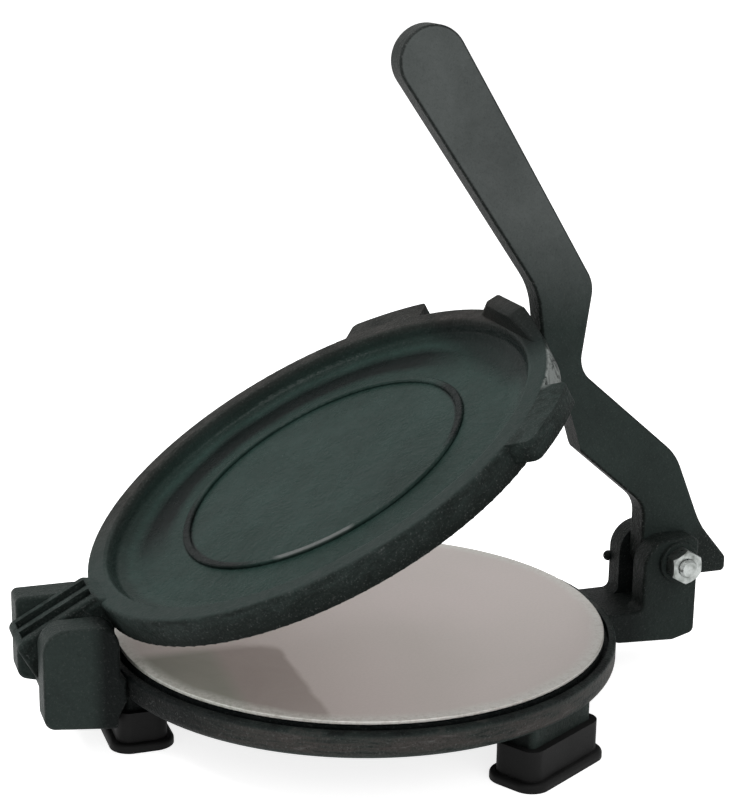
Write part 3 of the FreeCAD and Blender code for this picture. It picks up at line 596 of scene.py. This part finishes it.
def bond(name):
    """Dull dark adhesive."""
    s = Shade(name)
    fine = s.noise(s.place(), scale=300.0, detail=2.0, rough=0.5)
    return s.surface(s.mix(fine, BOND_DARK, BOND_LIGHT), 0.7, normal=None)


def dress(node, material):
    """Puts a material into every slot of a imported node."""
    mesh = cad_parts[node].data
    if not mesh.materials:
        mesh.materials.append(material)
    for i in range(len(mesh.materials)):
        mesh.materials[i] = material


feet = rubber("foot_rubber")
dress("base_casting", base_iron())
dress("upper_plate_casting", plate_iron())
dress("lever", lever_iron())
dress("lower_press_disc", sheet_steel("sheet_steel_lower"))
dress("upper_press_disc", sheet_steel("sheet_steel_upper"))
dress("lower_disc_bond", bond("bond_lower"))
dress("upper_disc_bond", bond("bond_upper"))
dress("hinge_pin", turned_steel("pin_steel"))
dress("lever_nut", zinc("zinc_nut"))
for side in ("hinge_side", "near", "far"):
    dress("rubber_foot_" + side, feet)


# Sizes of the threaded bolt, in metres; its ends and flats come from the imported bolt's box
BOLT_RADIUS = 0.0040
BOLT_HEAD_HEIGHT = 0.0053
BOLT_END_BEVEL = 0.0008
HEAD_FACE_SHARE = 0.95
HEAD_BEVEL_SLOPE = math.tan(math.radians(30.0))
THREAD_PITCH = 0.00125
THREAD_DEPTH = 0.00060
THREAD_LENGTH = 0.0120
THREAD_ROWS_PER_TURN = 12
AROUND = 72


def closed_rows(name, rows):
    """Mesh of closed rows of points joined one to the next, with a face over each end."""
    verts = [point for row in rows for point in row]
    faces = []
    for j in range(len(rows) - 1):
        for i in range(AROUND):
            following = (i + 1) % AROUND
            faces.append((j * AROUND + i, j * AROUND + following,
                          (j + 1) * AROUND + following, (j + 1) * AROUND + i))
    faces.append(tuple(range(AROUND)))
    faces.append(tuple((len(rows) - 1) * AROUND + i for i in reversed(range(AROUND))))
    mesh = bpy.data.meshes.new(name)
    mesh.from_pydata(verts, [], faces)
    shell = bmesh.new()
    shell.from_mesh(mesh)
    bmesh.ops.recalc_face_normals(shell, faces=shell.faces)
    shell.to_mesh(mesh)
    shell.free()
    return in_scene(name, mesh)


def in_scene(name, data):
    """A new object in the scene, made of the mesh, lamp or camera given."""
    made = bpy.data.objects.new(name, data)
    bpy.context.scene.collection.objects.link(made)
    return made


def threaded_bolt():
    """Bolt with a bevelled hexagon head and a rolled thread where it leaves the nut."""
    low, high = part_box("lever_bolt")
    center_x, center_z = (low[0] + high[0]) / 2, (low[2] + high[2]) / 2
    half_flats = (high[0] - low[0]) / 2
    seat = high[1] - BOLT_HEAD_HEIGHT
    turns = [2 * math.pi * i / AROUND for i in range(AROUND)]

    def row(place_y, reach):
        return [(center_x + reach(turn) * math.cos(turn),
                 place_y(turn),
                 center_z + reach(turn) * math.sin(turn))
                for turn in turns]

    def hexagon(turn):
        sixth = math.pi / 3
        return half_flats / math.cos((turn + sixth / 2) % sixth - sixth / 2)

    def bevelled(turn):
        return high[1] - (hexagon(turn) - half_flats * HEAD_FACE_SHARE) * HEAD_BEVEL_SLOPE

    rows = [row(lambda turn: high[1], lambda turn: half_flats * HEAD_FACE_SHARE),
            row(bevelled, hexagon),
            row(lambda turn: seat, hexagon),
            row(lambda turn: seat, lambda turn: BOLT_RADIUS)]
    steps = round(THREAD_LENGTH / THREAD_PITCH * THREAD_ROWS_PER_TURN)
    for j in range(steps + 1):
        left = THREAD_LENGTH * (1 - j / steps)
        end_radius = BOLT_RADIUS - BOLT_END_BEVEL + left

        def thread(turn):
            phase = (left / THREAD_PITCH + turn / (2 * math.pi)) % 1.0
            ridge = 1 - abs(2 * phase - 1)
            fade = min(1.0, (THREAD_LENGTH - left) / THREAD_PITCH)
            return min(BOLT_RADIUS - THREAD_DEPTH * (1 - ridge) * fade, end_radius)

        rows.append(row(lambda turn: low[1] + left, thread))
    bolt = closed_rows("lever_bolt_threaded", rows)
    bolt.data.materials.append(zinc("zinc_bolt"))
    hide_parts("lever_bolt")
    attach(bolt, "base")


def stage_floor():
    """Large pale floor that shows white to the camera and keeps the shadow."""
    corners = [(-FLOOR_REACH, -FLOOR_REACH, FLOOR_Z), (FLOOR_REACH, -FLOOR_REACH, FLOOR_Z),
               (FLOOR_REACH, FLOOR_REACH, FLOOR_Z), (-FLOOR_REACH, FLOOR_REACH, FLOOR_Z)]
    mesh = bpy.data.meshes.new("studio_floor")
    mesh.from_pydata(corners, [], [(0, 1, 2, 3)])
    floor = in_scene("studio_floor", mesh)
    s = Shade("studio_floor_white")
    diffuse = s.node("ShaderNodeBsdfDiffuse")
    s.put(diffuse.inputs["Color"], FLOOR_COLOR)
    glow = s.node("ShaderNodeEmission")
    s.put(glow.inputs["Color"], WHITE)
    s.put(glow.inputs["Strength"], s.times(s.seen_directly(), FLOOR_GLOW))
    both = s.node("ShaderNodeAddShader")
    s.link(diffuse.outputs[0], both.inputs[0])
    s.link(glow.outputs[0], both.inputs[1])
    s.link(both.outputs[0], s.out.inputs["Surface"])
    mesh.materials.append(s.material)


def studio_world():
    """Surroundings that look white, and that light the object evenly at a lower level."""
    world = bpy.data.worlds.new("studio_world")
    bpy.context.scene.world = world
    s = Nodes(world, "ShaderNodeOutputWorld")
    choose = s.node("ShaderNodeMixShader")
    s.put(choose.inputs[0], s.seen_directly())
    for socket, level in ((choose.inputs[1], WORLD_LIGHT), (choose.inputs[2], WORLD_SEEN)):
        background = s.node("ShaderNodeBackground")
        s.put(background.inputs["Color"], WHITE)
        s.put(background.inputs["Strength"], level)
        s.link(background.outputs[0], socket)
    s.link(choose.outputs[0], s.out.inputs["Surface"])


def softbox(name, place, size, watts):
    """Rectangular lamp turned to the middle of the object."""
    data = bpy.data.lights.new(name, "AREA")
    data.shape = "RECTANGLE"
    data.size, data.size_y = size
    data.energy = watts
    lamp = in_scene(name, data)
    lamp.location = place
    lamp.rotation_euler = (Vector(LAMP_TARGET) - Vector(place)).to_track_quat("-Z", "Y").to_euler()


def photo_camera():
    """Camera that stands where the photograph was taken from."""
    data = bpy.data.cameras.new("photo_camera")
    data.sensor_width = SENSOR_MM
    data.lens = CAMERA_FOCAL_PX / PHOTO_HEIGHT_PX * SENSOR_MM
    data.clip_start = CAMERA_NEAREST
    data.clip_end = CAMERA_FARTHEST
    camera = in_scene("photo_camera", data)
    back = CAMERA_RIGHT.cross(CAMERA_UP)
    turn = Matrix((CAMERA_RIGHT, CAMERA_UP, back)).transposed()
    camera.rotation_mode = "QUATERNION"
    camera.rotation_quaternion = turn.to_quaternion()
    camera.location = CAMERA_PLACE
    bpy.context.scene.camera = camera


threaded_bolt()
stage_floor()
studio_world()
softbox("key_light", KEY_LIGHT_PLACE, KEY_LIGHT_SIZE, KEY_LIGHT_WATTS)
softbox("front_light", FRONT_LIGHT_PLACE, FRONT_LIGHT_SIZE, FRONT_LIGHT_WATTS)
photo_camera()
bpy.context.scene.view_settings.view_transform = "Standard"
